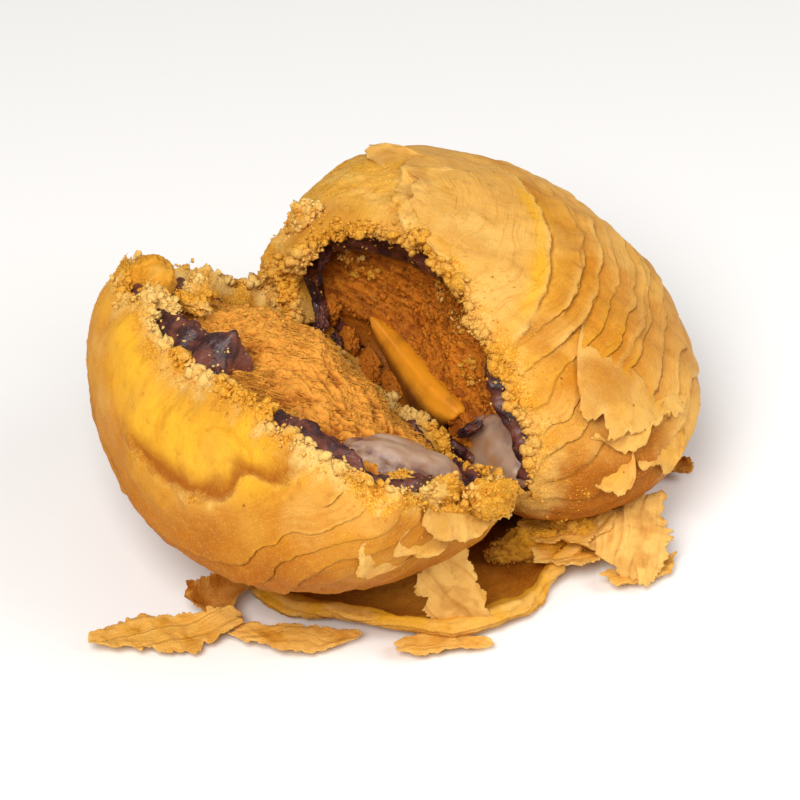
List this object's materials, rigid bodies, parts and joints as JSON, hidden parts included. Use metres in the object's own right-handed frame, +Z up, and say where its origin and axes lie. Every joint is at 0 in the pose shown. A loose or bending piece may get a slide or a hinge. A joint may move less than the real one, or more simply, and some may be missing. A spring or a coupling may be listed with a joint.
{
  "type": "egg yolk pastry",
  "caption": "Round baked pastry with a spiral flaky crust, torn open to show bean paste, floss, mochi and salted yolk, resting on shed flakes.",
  "frame": {"origin": "middle of the pastry's box, on the surface that it lies on", "axes": "+Z up; +X to the right and +Y to the back, seen from the open side of the tear"},
  "size_m": [0.0724, 0.0758, 0.0368],
  "materials": {
    "baked_crust": "baked flaky pastry, satin to matt",
    "bean_paste": "moist dark red bean paste",
    "meat_floss": "dry fibrous meat floss",
    "mochi": "translucent moist mochi",
    "salted_yolk": "smooth oily salted egg yolk"
  },
  "bodies": {
    "root": {"crust_right": "baked_crust", "bean_paste_right": "bean_paste", "floss_right": "meat_floss", "mochi_right": "mochi", "yolk_right": "salted_yolk", "crust_left": "baked_crust", "bean_paste_left": "bean_paste", "floss_left": "meat_floss", "mochi_left": "mochi", "bottom_sheet": "baked_crust", "crust_back": "baked_crust", "flake_long": "baked_crust", "flake_low": "baked_crust", "flake_brown": "baked_crust", "flake_upright": "baked_crust", "flake_front": "baked_crust", "flake_stack_low": "baked_crust", "flake_stack_high": "baked_crust", "flake_pale": "baked_crust", "flake_pointed": "baked_crust", "nub_behind": "baked_crust"}
  },
  "joints": []
}
